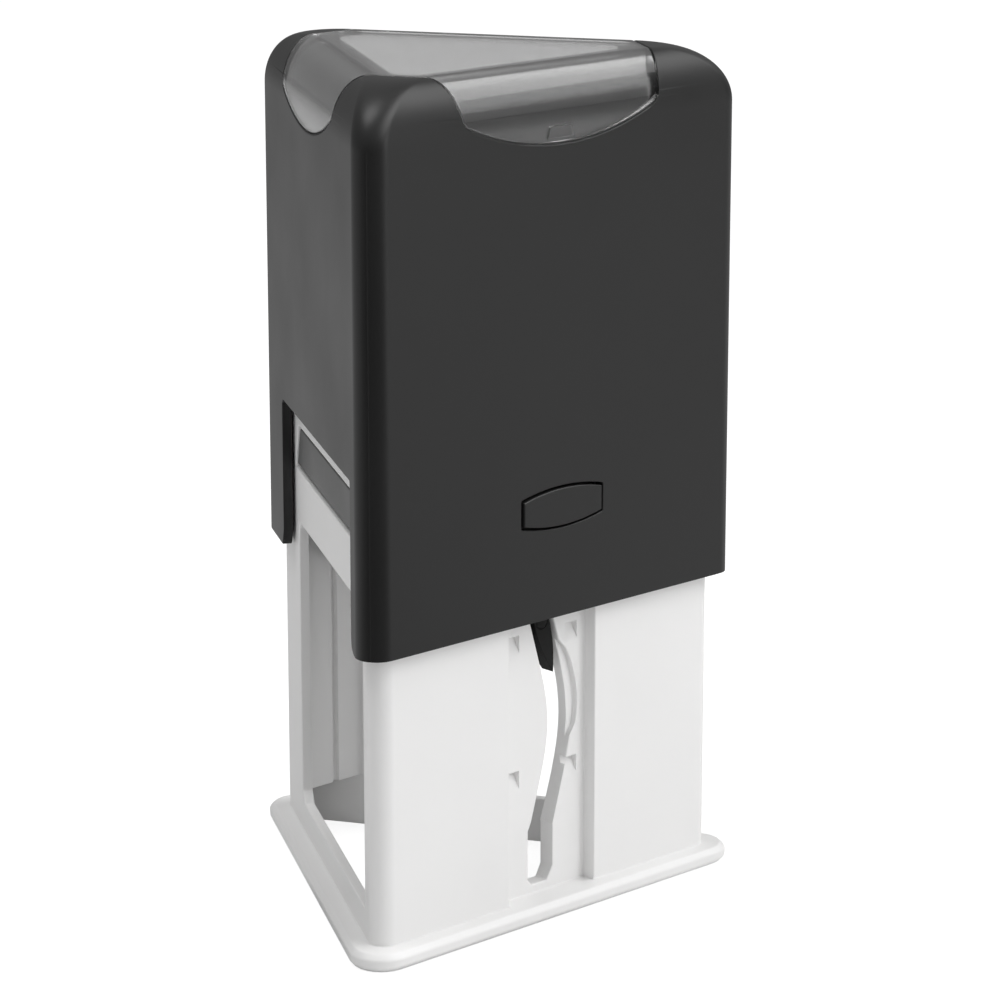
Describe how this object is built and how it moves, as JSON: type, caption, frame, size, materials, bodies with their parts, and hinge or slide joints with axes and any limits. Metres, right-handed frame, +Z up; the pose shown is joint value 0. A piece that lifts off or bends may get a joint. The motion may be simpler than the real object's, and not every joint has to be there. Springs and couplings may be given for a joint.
{
  "type": "self-inking date stamp",
  "caption": "Triangular self-inking date stamp with a press-down housing, clear index window, lock button, slide-out ink pad, flipping date plate and open frame base.",
  "frame": {"origin": "middle of the base's bounding box, on the surface the stamp stands on", "axes": "+Z up along the press direction, -Y out of the wide front face with the lock button, +Y towards the third corner, +X to the right seen from the front"},
  "size_m": [0.068, 0.0602, 0.1162],
  "materials": {
    "white_plastic": "satin",
    "black_plastic": "satin",
    "black_inner_plastic": "matte",
    "grey_plastic": "matte",
    "clear_plastic": "gloss",
    "card": "matte",
    "ink_felt": "matte",
    "foam": "matte",
    "die_rubber": "matte",
    "band_rubber": "matte",
    "wheel_plastic": "satin",
    "spring_steel": "satin"
  },
  "bodies": {
    "frame": {"base_frame": "white_plastic", "return_spring": "spring_steel"},
    "cap": {"housing": "black_plastic", "yoke": "black_inner_plastic", "index_card": "card"},
    "window": {"index_window": "clear_plastic"},
    "button": {"lock_button": "black_plastic"},
    "pad": {"pad_tray": "grey_plastic", "pad_felt": "ink_felt"},
    "platen": {"platen_carrier": "black_inner_plastic", "crank_disc": "grey_plastic", "rear_journal": "spring_steel", "die_cushion": "foam", "text_die": "die_rubber", "band_bridge": "black_inner_plastic", "date_axle": "spring_steel", "day_band": "band_rubber", "month_band": "band_rubber", "decade_band": "band_rubber", "year_band": "band_rubber"},
    "shoe": {"cam_shoe": "black_inner_plastic"},
    "day": {"day_wheel": "wheel_plastic"},
    "month": {"month_wheel": "wheel_plastic"},
    "decade": {"decade_wheel": "wheel_plastic"},
    "year": {"year_wheel": "wheel_plastic"}
  },
  "joints": [
    {"name": "press", "type": "slide", "parent": "frame", "child": "cap", "axis": [0, 0, -1], "range_m": [0, 0.035], "stiffness_N_per_m": 200, "springref_m": -0.012, "deforming": ["return_spring"]},
    {"name": "platen_flip", "type": "hinge", "parent": "cap", "child": "platen", "pos_m": [0, -0.00855, 0.0439], "axis": [0, -1, 0], "range_deg": [-0.5, 180.5]},
    {"name": "shoe_pivot", "type": "hinge", "parent": "platen", "child": "shoe", "pos_m": [0, -0.00855, 0.0407], "axis": [0, -1, 0], "range_deg": [-212.6, 0.5]},
    {"name": "pad_slide", "type": "slide", "parent": "frame", "child": "pad", "axis": [1, 0, 0], "range_m": [-0.042, 0]},
    {"name": "lock_press", "type": "slide", "parent": "cap", "child": "button", "axis": [0, 1, 0], "range_m": [0, 0.0012], "stiffness_N_per_m": 400, "springref_m": -0.0015},
    {"name": "window_lift", "type": "slide", "parent": "cap", "child": "window", "axis": [0, 0, 1], "range_m": [0, 0.015]},
    {"name": "day_turn", "type": "hinge", "parent": "platen", "child": "day", "pos_m": [0, -0.01155, 0.0423], "axis": [1, 0, 0], "continuous": true},
    {"name": "month_turn", "type": "hinge", "parent": "platen", "child": "month", "pos_m": [0, -0.01155, 0.0423], "axis": [1, 0, 0], "continuous": true},
    {"name": "decade_turn", "type": "hinge", "parent": "platen", "child": "decade", "pos_m": [0, -0.01155, 0.0423], "axis": [1, 0, 0], "continuous": true},
    {"name": "year_turn", "type": "hinge", "parent": "platen", "child": "year", "pos_m": [0, -0.01155, 0.0423], "axis": [1, 0, 0], "continuous": true}
  ],
  "couplings": [
    {"joint": "platen_flip", "follows": "press", "rad_per_m": 89.76},
    {"joint": "shoe_pivot", "follows": "press", "rad_per_m": -105.74}
  ]
}
